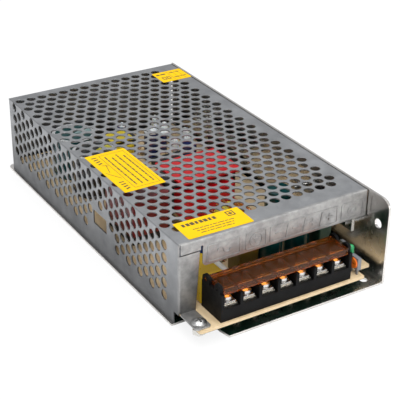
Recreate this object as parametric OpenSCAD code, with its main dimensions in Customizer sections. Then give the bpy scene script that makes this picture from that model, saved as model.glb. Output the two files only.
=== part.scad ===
// Enclosed switching power supply: a folded base with one side wall, a folded
// mesh cover, a board with its parts and a seven-way terminal block in front.
// Origin: centre of the base plate, on its underside. +X right, +Y back, +Z up.

/* [Case] */
// Width of the base plate
case_w = 100; // [96:1:120]
// Length of the base plate
case_l = 194; // [190:1:240]
// Height to the top of the side wall
case_h = 42; // [41:0.5:55]
// Thickness of the base plate and its side wall
sheet = 1; // [0.8:0.1:1.2]
// Thickness of the mesh cover
cover_t = 0.6; // [0.5:0.1:1]
// Length of the open shelf in front of the cover
shelf_l = 15; // [14.8:0.1:17]
// Length of the base plate behind the cover
rear_lip = 4.7; // [3:0.1:12]
// Step from the left edge of the base plate to the cover
side_step = 1; // [0.5:0.1:3]
// Height of the side wall above the cover
wall_rise = 0.3; // [0.2:0.1:1]
// Gap between the cover and the side wall
cover_gap = 0.1; // [0.05:0.05:0.3]
// Corner radius at the top of the side wall
wall_corner_r = 5; // [2:0.5:10]
// Width of the cut-away at the front left of the base plate
cut_w = 15.5; // [12:0.5:20]
// Length of that cut-away
cut_l = 19.7; // [17:0.1:24]

/* [Perforation] */
// Diameter of the ventilation holes
hole_d = 4.7; // [3:0.1:5]
// Spacing of the holes along a row
hole_pitch = 6.17; // [5.9:0.01:8]
// Spacing of the rows
row_pitch = 5.33; // [5.2:0.01:7]
// Distance from the fold to the first hole of an even row
fold_off = 3.41; // [3.2:0.01:4]
// Solid band behind the last row, from the back
rear_band = 7.07; // [5:0.01:15]
// Least solid band at the front
front_band = 12; // [8:0.5:20]
// Least solid band along the side wall
side_band = 7.5; // [5:0.5:15]
// Least solid band along the bottom of the left wall
foot_band = 9.3; // [6:0.1:15]
// Width of the switch window in the left wall
window_w = 13.1; // [8:0.1:20]
// Height of the switch window
window_h = 7.15; // [4:0.05:10]
// Centre of the window behind the middle of the case
window_y = -10.05; // [-20:0.05:10]
// Height of the window above the underside
window_z = 14.3; // [12:0.1:16]

/* [Front lip] */
// Depth of the front lip below the top of the cover
lip_depth = 13.1; // [10:0.1:14]
// Depth of the short part of the lip
lip_short = 5; // [4:0.1:8]
// Width of the front flange of the left wall
flange_w = 9.9; // [8:0.1:10]
// Width of the slit between the flange and the deep lip
slit_w = 1.1; // [0.8:0.1:2]
// Width of the foot
foot_w = 7.5; // [7:0.1:9]
// Length of the foot in front of the flange
foot_l = 14.1; // [12:0.1:14.5]
// Height of the embossed lines
emboss_h = 0.3; // [0.2:0.05:0.4]
// Width of the embossed lines
emboss_w = 0.6; // [0.4:0.05:0.8]

/* [Board] */
// Thickness of the board
board_t = 1.6; // [1.2:0.1:2]
// Height of the standoffs under the board
standoff_h = 5.4; // [4:0.1:6]
// Width of the hexagonal standoffs across their corners
standoff_d = 6; // [5:0.5:7]
// Gap from the left wall to the board
board_gap = 0.6; // [0.3:0.1:1]
// Gap from the board to the side wall
board_side = 2.9; // [2.5:0.1:5]
// Gap from the board to the back wall
board_end = 3.4; // [2:0.1:6]
// Width of the step at the front right corner of the board
board_step_w = 8.1; // [6:0.1:9]
// Length of that step
board_step_l = 6.5; // [5:0.1:8]
// Diameter of the board, foot and cover screws
screw_d = 3; // [2.5:0.5:3]
// Head diameter of those screws
screw_head_d = 6; // [5.5:0.1:6.5]
// Clearance round the leads in the board
lead_gap = 0.3; // [0.2:0.1:0.5]

/* [Mounting holes] */
// Diameter of the hole at the front of the side wall
side_hole_d = 4.5; // [3:0.1:6]
// Distance of that hole from the front edge
side_hole_y = 6.45; // [5:0.05:10]
// Distance of that hole from the top edge
side_hole_z = 13.6; // [8:0.1:20]
// Diameter of the hole in the front right corner of the plate
floor_hole_d = 3.8; // [3:0.1:5]
// Diameter of the tapped holes in the plate
tapped_d = 3.3; // [2.5:0.1:4]
// Spacing of the tapped holes across the case
tapped_x = 50; // [40:1:60]
// Spacing of the tapped holes along the case
tapped_y = 150; // [130:1:150]
// Length of thread in a tapped hole
tapped_l = 2.5; // [2:0.1:3]

/* [Terminal block] */
// Number of terminals
ways = 7; // [5:1:7]
// Spacing of the terminals
way_pitch = 9.5; // [9:0.1:9.5]
// Thickness of the barriers
barrier_t = 1.5; // [1.2:0.1:2]
// Depth of the block
block_depth = 15.5; // [14.5:0.1:15.5]
// Distance of the block from the front edge of the board
block_inset = 1.1; // [0.5:0.1:1.4]
// Distance of the block from the left face of the cover
block_left = 12; // [11:0.1:13]
// Height of the terminal floor above the board
floor_h = 6.1; // [5:0.1:7]
// Height of the barriers above the board
barrier_h = 12; // [11:0.1:12.2]
// Height of the end ears above the board
ear_h = 16.9; // [16:0.1:18]
// Diameter of the cover's pivots
pivot_d = 1.9; // [1.4:0.1:2]
// Height of the pivots above the board
pivot_h = 14.4; // [14:0.1:15]
// Distance of the pivots from the back of the block
pivot_back = 2.55; // [2.2:0.05:3]
// Thickness of the terminal cover's panel
lid_t = 1.1; // [0.8:0.1:1.3]
// Height of the terminal cover's front lip
lid_lip = 3.2; // [2.5:0.1:3.3]
// Thread diameter of the terminal screws
term_d = 3; // [2.5:0.5:3.5]
// Head diameter of the terminal screws
term_head_d = 5.2; // [4.8:0.1:5.6]
// Height of that head
term_head_h = 2; // [1.8:0.1:2.4]
// Distance of the terminal screws from the front of the block
term_inset = 4.8; // [4.6:0.1:5.5]
// Distance that a terminal screw stands open
term_open = 0.8; // [0.5:0.1:1.4]
// Width of the square clamps
clamp_w = 5.8; // [5.4:0.1:6.5]
// Running clearance of pivots, rotor and screws
run_gap = 0.05; // [0.02:0.01:0.08]

/* [Indicator and trimmer] */
// Distance of the trimmer's body from the block
trim_off = 4.3; // [4:0.1:4.5]
// Distance of the rotor's axis from the front edge of the board
trim_inset = 4.6; // [3.8:0.1:4.7]
// Width of the trimmer's body
trim_w = 5.4; // [5.3:0.1:6]
// Height of the trimmer's body
trim_h = 6; // [5.5:0.1:6]
// Depth of the trimmer's body
trim_depth = 2; // [1.8:0.1:2.5]
// Height of the trimmer's legs
trim_leg = 2.2; // [1.5:0.1:2.2]
// Diameter of the rotor
rotor_d = 4.9; // [4:0.1:5]
// Diameter of the lamp
led_d = 3; // [2.8:0.1:3.2]
// Distance of the lamp from the block
led_off = 6.35; // [6:0.05:7]
// Distance of the lamp from the front edge of the board
led_inset = 9.8; // [9.6:0.1:11]
// Height of the lamp above the board
led_h = 5.6; // [5:0.1:8]

/* [Power parts] */
// Width of the main transformer
trafo_w = 39; // [34:1:40]
// Length of the main transformer's core
trafo_l = 32; // [28:1:34]
// Height of the main transformer
trafo_h = 26; // [22:1:28]
// Diameter of the bulk capacitors
bulk_d = 22; // [18:1:22]
// Height of the bulk capacitors
bulk_h = 22; // [18:1:30]
// Diameter of the output capacitors
out_cap_d = 12.5; // [10:0.5:13]
// Height of the output capacitors
out_cap_h = 20; // [16:1:25]
// Outer diameter of the wound toroid
toroid_d = 22; // [18:0.5:23]
// Depth of the wound toroid
toroid_t = 13; // [10:0.5:14]
// Diameter of the copper wire
wire_d = 1.3; // [1:0.1:1.4]
// Turns of wire on the toroid
turns = 18; // [12:1:19]
// Width of the line choke's core
choke_w = 18; // [13:1:18]
// Length of the line choke's core
choke_l = 25; // [18:1:26]
// Height of the line choke
choke_h = 24; // [18:1:28]
// Width of the driver transformer's core
driver_w = 18; // [15:1:19]
// Height of that core
driver_h = 14; // [12:0.5:17]
// Diameter of the varistor
varistor_d = 16; // [10:1:17]
// Length of the box capacitor behind the block
xcap_l = 18; // [13:1:19]
// Width of that capacitor
xcap_w = 11; // [7:1:12]
// Length of the fuse
fuse_l = 20; // [15:1:22]
// Thickness of the insulating film
film_t = 0.2; // [0.1:0.05:0.3]
// Distance of the film from the side wall
film_gap = 0.05; // [0.02:0.01:0.1]
// Thickness of the stickers
label_t = 0.12; // [0.1:0.02:0.2]

/* [Hidden] */
$fn = 48;
eps = 0.01;

// Faces of the case
base_left = -case_w / 2;
base_right = case_w / 2;
base_front = -case_l / 2;
base_rear = case_l / 2;
wall_in = base_right - sheet;
cover_left = base_left + side_step;
cover_right = wall_in - cover_gap;
cover_front = base_front + shelf_l;
cover_rear = base_rear - rear_lip;
cover_top = case_h - wall_rise;
cover_w = cover_right - cover_left;
cover_l = cover_rear - cover_front;
roof_z = cover_top - cover_t;

// Faces of the board
board_z = sheet + standoff_h;
board_top = board_z + board_t;
board_left = cover_left + cover_t + board_gap;
board_right = wall_in - board_side;
board_front = base_front;
board_rear = cover_rear - cover_t - board_end;

// Faces of the terminal block
block_l = ways * way_pitch + barrier_t;
block_x0 = cover_left + block_left;
block_x1 = block_x0 + block_l;
block_y0 = board_front + block_inset;
block_y1 = block_y0 + block_depth;
bay_z = board_top + floor_h;
pivot_y = block_y1 - pivot_back;
pivot_z = board_top + pivot_h;
term_y = block_y0 + term_inset;
contact_t = 0.8;
clamp_t = 0.9;
function way_x(i) = block_x0 + barrier_t / 2 + (i + 0.5) * way_pitch;

// Foot and flange of the cover
foot_z = board_top;
flange_x1 = cover_left + flange_w;
lip_x0 = flange_x1 + 1.6;
lip_x1 = wall_in - film_gap - film_t - 0.15;
lip_z = cover_top - lip_depth;
short_z = cover_top - lip_short;
wall_step_y = cover_front + 4.65;
foot_screw_x = cover_left + 3.6;
foot_screw_y = cover_front - 10.1;

// Rows and holes of the mesh
rows = floor((cover_l - rear_band - front_band) / row_pitch) + 1;
wall_holes_z = foot_band + sheet;
function row_y(k) = cover_rear - rear_band - k * row_pitch;
function odd(k) = k % 2 == 1;
function roof_x(k, i) = cover_left + fold_off + (odd(k) ? hole_pitch / 2 : 0) + i * hole_pitch;
function roof_count(k) = floor((cover_right - side_band - roof_x(k, 0)) / hole_pitch) + 1;
function wall_z(k, j) = cover_top - (odd(k) ? 1.5 : 1) * hole_pitch + fold_off - j * hole_pitch;
function wall_count(k) = floor((wall_z(k, 0) - wall_holes_z) / hole_pitch) + 1;

// Places of the parts at the rear left
bulk_x = board_left + 9 + bulk_d / 2;
bulk_y1 = board_rear - 28.3;
bulk_y2 = bulk_y1 - bulk_d - 1.5;
choke_x = board_left + 18.3;
choke_y = board_front + 87;
driver_x = bulk_x + bulk_d / 2 + 1.8 + driver_w / 2;
driver_y = board_rear - 35.3;
bridge_x = board_left + 26.8;
bridge_y = board_rear - 10.4;
thermistor_x = board_left + 47.8;
thermistor_y = board_rear - 4.3;

// Places of the main transformer and the wound toroid
trafo_x = board_left + 49.3;
trafo_y = (board_front + board_rear) / 2 - 6.65;
toroid_x = trafo_x;
toroid_y = cover_front + 37;

// Places of the parts behind the terminal block
xcap_x = block_x0 + 0.3;
xcap_y = cover_front + 11.2;
varistor_x = xcap_x + 7.4;
varistor_y = xcap_y + xcap_l / 2 + 3.8;
fuse_x = xcap_x + xcap_w + 8.2;
fuse_y = xcap_y + 4;
film_cap_x = board_right - 16.6;
film_cap_y = cover_front + 8.5;
out_cap_x = film_cap_x - out_cap_d / 2 - 1.25;
out_cap_y = cover_front + 16;
out_cap_xy = [
    [out_cap_x - out_cap_d - 2.5, out_cap_y],
    [out_cap_x, out_cap_y],
    [film_cap_x + 0.5, out_cap_y + 26]
];
taped_x = out_cap_x - out_cap_d * 1.5 - 8.35;
taped_y = out_cap_y + 2;

// Places of the control circuit, from its own corner
logic_x = board_right - 46.1;
logic_y = board_rear - 88.3;
chip_w = 20;
chip_pitch = 2.54;
small_caps = [
    [14, 53, 8, 16], [24, 60, 6.3, 10], [34, 50, 5, 8],
    [7, 74, 8, 12], [25, 33, 8, 14], [30, 12, 6.3, 10]
];
resistor_xy = [[24, 50], [14, 60], [30, 66], [10, 66], [24, 72], [32, 76], [10, 30], [26, 22]];

// Places of the fasteners
standoff_xy = [
    [board_left + 14, board_rear - 6],
    [board_right - 14, board_rear - 6],
    [board_left + 28, board_front + 52],
    [board_right - 5, board_front + 31],
    [bulk_x + bulk_d / 2 + 1.2, bulk_y2 - bulk_d / 2]
];
cover_screw_y = [cover_front + 14, 0, cover_rear - 14];
cover_screw_z = cover_top - 4.7;
skirt_h = 8.5;

// Film and the devices on the side wall
film_x = wall_in - film_gap - film_t;
film_top = roof_z - skirt_h - 0.8;
device_y = [cover_front + 30, logic_y + 22, logic_y + 40];
device_w = [16, 10, 10];
device_z = board_top + 5;
device_h = 15;
device_t = 4.6;
device_leg_x = film_x - 3.6;
bar_t = 1.5;
bar_h = 6;
bar_z = device_z + 8;
bar_screw_z = bar_z + bar_h / 2;
bar_screw_y = [cover_front + 5.9, cover_front + 45, logic_y + 10, logic_y + 52];

// Lamp and trimmer
lamp_x = block_x1 + led_off;
led_y = board_front + led_inset;
led_z = board_top + led_h;
trim_x = block_x1 + trim_off;
trim_y = board_front + trim_inset;
rotor_z = board_top + trim_leg + trim_h / 2;
rotor_out = 0.6;
rotor_in = 1.2;

// Leads through the board, each as [x, y, diameter]
function pair_x(x, y, s, d) = [[x - s, y, d], [x + s, y, d]];
function pair_y(x, y, s, d) = [[x, y - s, d], [x, y + s, d]];
xcap_leads = pair_y(xcap_x + xcap_w / 2, xcap_y, xcap_l / 2 - 1.5, 0.8);
varistor_leads = pair_x(varistor_x, varistor_y, 3.7, 0.8);
thermistor_leads = pair_x(thermistor_x, thermistor_y, 3.7, 0.8);
bridge_leads = [for (i = [-1.5 : 1.5]) [bridge_x + i * 5.8, bridge_y, 1]];
bulk_leads = [for (y = [bulk_y1, bulk_y2]) each pair_x(bulk_x, y, 5, 1.2)];
trafo_leads = [
    for (i = [-2 : 2]) each pair_y(trafo_x + i * 6, trafo_y, trafo_l / 2 - 3, 1)
];
toroid_leads = [
    for (s = [-1, 1]) [
        toroid_x + s * (toroid_d - wire_d) / 2 * sin(540 / turns),
        toroid_y + s * (toroid_t - wire_d) / 2, wire_d - 0.3
    ]
];
toroid_lead_z = board_top + toroid_d / 2 - (toroid_d - wire_d) / 2 * cos(540 / turns);
out_cap_leads = [for (p = out_cap_xy) each pair_x(p[0], p[1], 2.5, 0.8)];
film_cap_leads = pair_y(film_cap_x + 3.7, film_cap_y + 6.5, 5, 0.8);
device_leads = [
    for (i = [0 : 2]) for (k = [-1, 0, 1]) [device_leg_x, device_y[i] + k * device_w[i] / 4, 1]
];
chip_leads = [
    for (i = [0 : 7]) for (s = [0, 1])
        [logic_x + 11.3 + i * chip_pitch, logic_y + 40.05 + s * 6.4, 0.7]
];
small_cap_leads = [for (p = small_caps) each pair_x(logic_x + p[0], logic_y + p[1], 1.2, 0.6)];
resistor_leads = [for (p = resistor_xy) each pair_x(logic_x + p[0], logic_y + p[1], 4.4, 0.6)];
lamp_wires = pair_x(lamp_x, led_y, 1.27, 0.5);
board_leads = concat(
    xcap_leads, varistor_leads, thermistor_leads, bridge_leads, bulk_leads, trafo_leads,
    toroid_leads, out_cap_leads, film_cap_leads, device_leads, chip_leads,
    small_cap_leads, resistor_leads, lamp_wires
);
contact_pin = [3, 0.9];
contact_pin_y = block_y1 - 4.55;

// Sizes of the stickers
side_label = [20.8, 40.3];
front_label = [31.8, 14.2];
rear_label = [17.5, 13.4];

// ---- General shapes ----

// Rectangle with round corners, from its low corner
module round_rect(w, h, r) {
    translate([r, 0]) square([w - 2 * r, h]);
    translate([0, r]) square([w, h - 2 * r]);
    for (x = [r, w - r]) for (y = [r, h - r]) translate([x, y]) circle(r);
}

// Box with round vertical edges, from its low corner
module round_box(size, r) {
    linear_extrude(size[2]) round_rect(size[0], size[1], r);
}

// Draws a flat shape in the XZ plane, t thick, from y towards +Y
module stand_xz(y, t) {
    translate([0, y + t, 0]) rotate([90, 0, 0]) linear_extrude(t) children();
}

// Draws a flat shape given as (Y, Z) in the YZ plane, t thick, from x towards +X
module stand_yz(x, t) {
    translate([x, 0, 0]) rotate([90, 0, 90]) linear_extrude(t) children();
}

// Quarter of a round bar, the outside of a sharp fold; it fills the +X +Y corner
// and laps into the flat sheet on either side by the given length
module fold_profile(r, lap = eps) {
    intersection() {
        circle(r);
        square(r);
    }
    if (lap > 0) {
        translate([-lap, 0]) square([2 * lap, r]);
        translate([0, -lap]) square([r, 2 * lap]);
    }
}

// Leads from under the board up to z
module leads(list, z) {
    for (p = list) translate([p[0], p[1], board_z - 1]) cylinder(d = p[2], h = z - board_z + 1);
}

// Rod along X, from x0 to x1
module rod_x(x0, x1, y, z, d) {
    translate([x0, y, z]) rotate([0, 90, 0]) cylinder(d = d, h = x1 - x0);
}

// Rod along Y, from y0 to y1
module rod_y(y0, y1, x, z, d) {
    translate([x, y1, z]) rotate([90, 0, 0]) cylinder(d = d, h = y1 - y0);
}

// Pan-head screw with a cross recess; its seat is at the origin, its head up
module pan_screw(d, head_d, head_h, length) {
    difference() {
        union() {
            intersection() {
                cylinder(d = head_d, h = head_h);
                translate([0, 0, head_h - head_d * 0.83]) sphere(r = head_d * 0.83);
            }
            translate([0, 0, -length]) cylinder(d = d, h = length + eps);
        }
        for (a = [0, 90]) rotate([0, 0, a]) {
            translate([-head_d * 0.29, -head_d * 0.07, head_h * 0.45])
                cube([head_d * 0.58, head_d * 0.14, head_h]);
        }
    }
}

// ---- Case ----

module plate_outline() {
    difference() {
        translate([base_left, base_front]) round_rect(case_w, case_l, 3);
        translate([base_left - 1, base_front - 1]) square([cut_w + 1, cut_l + 1]);
        polygon([
            [base_left + cut_w - eps, base_front - 1],
            [base_left + cut_w + 1.5, base_front - 1],
            [base_left + cut_w - eps, base_front + 6]
        ]);
    }
}

module wall_outline() {
    difference() {
        union() {
            translate([base_front, sheet]) {
                square([cover_rear - base_front, case_h - sheet - wall_corner_r]);
                translate([wall_corner_r, 0])
                    square([cover_rear - base_front - wall_corner_r, case_h - sheet]);
            }
            translate([base_front + wall_corner_r, case_h - wall_corner_r])
                circle(wall_corner_r);
        }
        translate([base_front + side_hole_y, case_h - side_hole_z]) circle(d = side_hole_d);
    }
}

// Cone-ended hole for a countersunk screw, its wide end at x = base_right
module countersink(y, z) {
    rod_x(wall_in - 1, base_right + 1, y, z, screw_d + 0.2);
    translate([base_right - 0.9, y, z]) rotate([0, 90, 0])
        cylinder(d1 = screw_d + 0.2, d2 = screw_d + 2.2, h = 0.9 + eps);
}

module base_chassis() color([0.72, 0.71, 0.70]) {
    difference() {
        union() {
            linear_extrude(sheet) difference() {
                plate_outline();
                translate([wall_in, base_front - 1]) square([2 * sheet, case_l + 2]);
                translate([base_right - 7, base_front + 6]) circle(d = floor_hole_d);
            }
            // the fold under the side wall and the plate behind it
            translate([wall_in, cover_rear, sheet]) rotate([90, 0, 0]) rotate([0, 0, -90])
                linear_extrude(cover_rear - base_front) fold_profile(sheet);
            linear_extrude(sheet) intersection() {
                plate_outline();
                translate([wall_in - eps, cover_rear]) square([2 * sheet, rear_lip]);
            }
            stand_yz(wall_in, sheet) wall_outline();
            for (x = [-1, 1]) for (y = [-1, 1])
                translate([x * tapped_x / 2, y * tapped_y / 2, 0])
                    cylinder(d = tapped_d + 1.6, h = tapped_l);
        }
        for (x = [-1, 1]) for (y = [-1, 1])
            translate([x * tapped_x / 2, y * tapped_y / 2, -1])
                cylinder(d = tapped_d, h = tapped_l + 2);
        for (y = cover_screw_y) countersink(y, cover_screw_z);
        for (y = bar_screw_y) countersink(y, bar_screw_z);
    }
}

module roof_outline() {
    difference() {
        translate([cover_left + cover_t, cover_front + cover_t])
            square([cover_w - 2 * cover_t, cover_l - 2 * cover_t]);
        for (k = [0 : rows - 1]) for (i = [0 : roof_count(k) - 1])
            if (k > 0 || i < roof_count(k) - 1)
                translate([roof_x(k, i), row_y(k)]) circle(d = hole_d);
    }
}

// True where the window leaves no room for a hole of the mesh
function near_window(y, z) =
    (abs(y - window_y) < window_w / 2 + 1.5 && z < window_z + window_h + hole_d / 2 + 0.8)
    || (abs(y - window_y) < window_w / 2 + 6 && z < window_z + 1.8);

module left_wall_outline() {
    difference() {
        union() {
            translate([wall_step_y, sheet])
                square([cover_rear - cover_t - wall_step_y, roof_z - sheet]);
            translate([cover_front + cover_t, board_top - 0.7])
                square([wall_step_y - cover_front, roof_z - board_top + 0.7]);
        }
        for (k = [0 : rows - 1]) for (j = [0 : wall_count(k) - 1])
            if (!near_window(row_y(k), wall_z(k, j)))
                translate([row_y(k), wall_z(k, j)]) circle(d = hole_d);
        translate([window_y - window_w / 2, window_z]) round_rect(window_w, window_h, 0.6);
    }
}

module lip_outline() {
    difference() {
        union() {
            translate([cover_left + 0.7, short_z])
                square([lip_x0 - cover_left, roof_z - short_z]);
            translate([lip_x0, lip_z + 1.8]) square([lip_x1 - lip_x0, roof_z - lip_z - 1.8]);
            translate([lip_x0 + 1.8, lip_z]) square([lip_x1 - lip_x0 - 1.8, 2]);
            translate([lip_x0 + 1.8, lip_z + 1.8]) circle(1.8);
        }
        translate([lip_x0 - slit_w, short_z - 1]) square([slit_w, 1 + 1.5]);
        translate([lip_x0 - slit_w / 2, short_z + 1.5]) circle(d = slit_w);
    }
}

// Raised frame on the lip, from x0 to x1
module emboss_frame(x0, x1) {
    z0 = lip_z + 0.9;
    h = lip_depth - 4.6;
    translate([x0, z0]) difference() {
        round_rect(x1 - x0, h, 1.2);
        translate([emboss_w, emboss_w])
            round_rect(x1 - x0 - 2 * emboss_w, h - 2 * emboss_w, 1.2 - emboss_w);
    }
}

// Raised bar on the lip, centred at (x, z)
module emboss_bar(x, z, length, angle) {
    translate([x, z]) rotate([0, 0, angle])
        square([length, emboss_w], center = true);
}

// The lip's marks: input, earth, output poles and adjustment, as plain signs
module emboss_marks() {
    mid_z = lip_z + 0.9 + (lip_depth - 4.6) / 2;
    emboss_frame(lip_x0 + 1.9, lip_x0 + 18.6);
    emboss_frame(lip_x0 + 21.1, lip_x0 + 31.75);
    emboss_frame(lip_x0 + 33.5, lip_x0 + 69.9);
    emboss_frame(lip_x0 + 71.9, lip_x0 + 84.25);
    for (s = [-1, 1]) translate([lip_x0 + 10.2 + s * 1.6, mid_z]) intersection() {
        difference() {
            circle(1.6 + emboss_w / 2);
            circle(1.6 - emboss_w / 2);
        }
        translate([-3, s > 0 ? -3 : 0]) square([6, 3]);
    }
    translate([lip_x0 + 26.4, mid_z]) difference() {
        circle(3.1 + emboss_w / 2);
        circle(3.1 - emboss_w / 2);
    }
    for (i = [0 : 2]) emboss_bar(lip_x0 + 26.4, mid_z - 1.2 + i * 1, 1.2 + i * 1.1, 0);
    emboss_bar(lip_x0 + 26.4, mid_z + 1.6, 1.2, 90);
    for (i = [1 : 3]) emboss_bar(lip_x0 + 33.5 + i * 9.1, mid_z, lip_depth - 6.4, 80);
    for (i = [0 : 3]) {
        emboss_bar(lip_x0 + 38 + i * 9.1, mid_z, 3.4, 0);
        if (i > 1) emboss_bar(lip_x0 + 38 + i * 9.1, mid_z, 3.4, 90);
    }
    translate([lip_x0 + 78, mid_z]) difference() {
        circle(2.2 + emboss_w / 2);
        circle(2.2 - emboss_w / 2);
    }
    emboss_bar(lip_x0 + 78, mid_z, 6.4, 45);
}

module mesh_cover() color([0.60, 0.62, 0.64]) {
    difference() {
        union() {
            translate([0, 0, roof_z]) linear_extrude(cover_t) roof_outline();
            stand_yz(cover_left, cover_t) left_wall_outline();
            // fold between the roof and the left wall
            translate([cover_left + cover_t, cover_rear - cover_t, roof_z])
                rotate([90, 0, 0]) mirror([1, 0, 0])
                    linear_extrude(cover_l - 2 * cover_t) fold_profile(cover_t);
        }
        // the upper holes of the left wall run close to the fold
        for (k = [0 : 2 : rows - 1])
            rod_x(cover_left - 1, cover_left + cover_t, row_y(k), wall_z(k, 0), hole_d);
    }
    // front lip with its fold
    stand_xz(cover_front, cover_t) lip_outline();
    translate([cover_left + 0.7, cover_front + cover_t, roof_z]) rotate([90, 0, 90])
        mirror([1, 0, 0]) linear_extrude(lip_x1 - cover_left - 0.7) fold_profile(cover_t);
    stand_xz(cover_front - emboss_h, emboss_h + eps) emboss_marks();
    // back wall with its two folds
    stand_xz(cover_rear - cover_t, cover_t) translate([cover_left + cover_t, sheet])
        square([cover_w - 2 * cover_t, roof_z - sheet]);
    translate([cover_left, cover_rear - cover_t, roof_z]) rotate([90, 0, 90])
        linear_extrude(cover_w) fold_profile(cover_t);
    translate([cover_left + cover_t, cover_rear - cover_t, sheet]) mirror([1, 0, 0])
        linear_extrude(roof_z - sheet) fold_profile(cover_t);
    // skirt inside the side wall, with its fold and tapped holes
    translate([cover_right - cover_t, cover_rear - cover_t, roof_z]) rotate([90, 0, 0])
        linear_extrude(cover_l - 2 * cover_t) fold_profile(cover_t);
    difference() {
        translate([cover_right - cover_t, cover_front + cover_t + 1, roof_z - skirt_h])
            cube([cover_t, cover_l - 2 * cover_t - 2, skirt_h]);
        for (y = cover_screw_y)
            rod_x(cover_right - 2 * cover_t, cover_right + 1, y, cover_screw_z, screw_d);
    }
    // front flange of the left wall, its fold, and the foot that lies on the board
    translate([cover_left + cover_t, cover_front + cover_t, foot_z + cover_t])
        rotate([0, 0, 180]) linear_extrude(short_z - 0.5 - foot_z - cover_t)
            fold_profile(cover_t);
    stand_xz(cover_front, cover_t) polygon([
        [cover_left + cover_t, foot_z + cover_t],
        [flange_x1 - 1.7, foot_z + cover_t],
        [flange_x1, short_z - 0.5],
        [cover_left + cover_t, short_z - 0.5]
    ]);
    translate([cover_left + cover_t, cover_front, foot_z + cover_t]) rotate([90, 0, 90])
        mirror([0, 1, 0]) linear_extrude(flange_w - 1.7 - cover_t) fold_profile(cover_t, 0);
    translate([0, 0, foot_z]) linear_extrude(cover_t) difference() {
        union() {
            translate([cover_left, cover_front - foot_l]) round_rect(foot_w, foot_l, 1.5);
            translate([cover_left + 1.5, cover_front - 4]) square([foot_w - 1.5, 4]);
        }
        translate([foot_screw_x, foot_screw_y]) circle(d = screw_d + 0.3);
    }
}

// ---- Board and its fasteners ----

module main_board() color([0.86, 0.75, 0.58]) {
    translate([0, 0, board_z]) linear_extrude(board_t) difference() {
        translate([board_left, board_front])
            round_rect(board_right - board_left, board_rear - board_front, 1.5);
        translate([board_right - board_step_w, board_front - 1])
            square([board_step_w + 1, board_step_l + 1]);
        for (p = standoff_xy) translate(p) circle(d = screw_d + 0.2);
        translate([foot_screw_x, foot_screw_y]) circle(d = screw_d + 0.2);
        for (p = board_leads) translate([p[0], p[1]]) circle(d = p[2] + lead_gap, $fn = 16);
        for (i = [0 : ways - 1]) translate([way_x(i), contact_pin_y])
            square([contact_pin[0] + lead_gap, contact_pin[1] + lead_gap], center = true);
    }
}

module insulating_film() color([0.85, 0.87, 0.88, 0.35]) {
    front = cover_front - 1.4;
    stand_yz(film_x, film_t) difference() {
        translate([front, sheet]) round_rect(cover_rear - cover_t - 2 - front, film_top - sheet, 1.5);
        for (y = bar_screw_y) translate([y, bar_screw_z]) circle(d = screw_d + 0.4);
    }
}

module board_standoffs() color([0.75, 0.74, 0.70]) {
    for (p = standoff_xy) translate([p[0], p[1], sheet]) difference() {
        cylinder(d = standoff_d, h = standoff_h, $fn = 6);
        translate([0, 0, -eps]) cylinder(d = screw_d, h = standoff_h + 1);
    }
}

module board_screws() color([0.78, 0.78, 0.76]) {
    for (p = standoff_xy) translate([p[0], p[1], board_top])
        pan_screw(screw_d - 2 * run_gap, screw_head_d, 2, board_t + 4);
}

// Countersunk screws from outside, through the side wall; tip is where they end
module flat_screw(y, z, tip) {
    rod_x(tip, base_right - 0.5, y, z, screw_d - 2 * run_gap);
    difference() {
        translate([base_right - 0.9, y, z]) rotate([0, 90, 0])
            cylinder(d1 = screw_d, d2 = screw_d + 2, h = 0.9);
        for (a = [0, 90]) translate([base_right - 0.4, y, z]) rotate([a, 0, 0])
            translate([0, -1.2, -0.3]) cube([1, 2.4, 0.6]);
    }
}

module cover_screws() color([0.78, 0.78, 0.76]) {
    for (y = cover_screw_y) flat_screw(y, cover_screw_z, cover_right - cover_t - 1);
}

module foot_screw() color([0.80, 0.80, 0.78]) {
    translate([foot_screw_x, foot_screw_y, foot_z + cover_t])
        pan_screw(screw_d - 2 * run_gap, screw_head_d + 0.5, 2.1, cover_t + board_t + 2.6);
}

module foot_nut() color([0.72, 0.72, 0.70]) {
    translate([foot_screw_x, foot_screw_y, board_z - 2.4]) difference() {
        cylinder(d = screw_d * 2, h = 2.4, $fn = 6);
        translate([0, 0, -1]) cylinder(d = screw_d, h = 5);
    }
}

// ---- Terminal block ----

module ear_outline() {
    depth = block_depth;
    rear0 = depth - 5.8;
    notch = ear_h - 3.6;
    union() {
        square([depth, notch]);
        translate([1.4, notch - 1]) square([4.4, ear_h - notch - 0.6]);
        translate([3, notch]) square([1.2, ear_h - notch]);
        translate([3, ear_h - 1.6]) circle(1.6);
        translate([4.2, ear_h - 1.6]) circle(1.6);
        translate([rear0, notch - 1]) square([5.5, ear_h - notch - 1.2]);
        translate([rear0 + 2.2, ear_h - 2.2]) circle(2.2);
        translate([rear0 + 3.3, ear_h - 2.2]) circle(2.2);
    }
}

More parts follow.
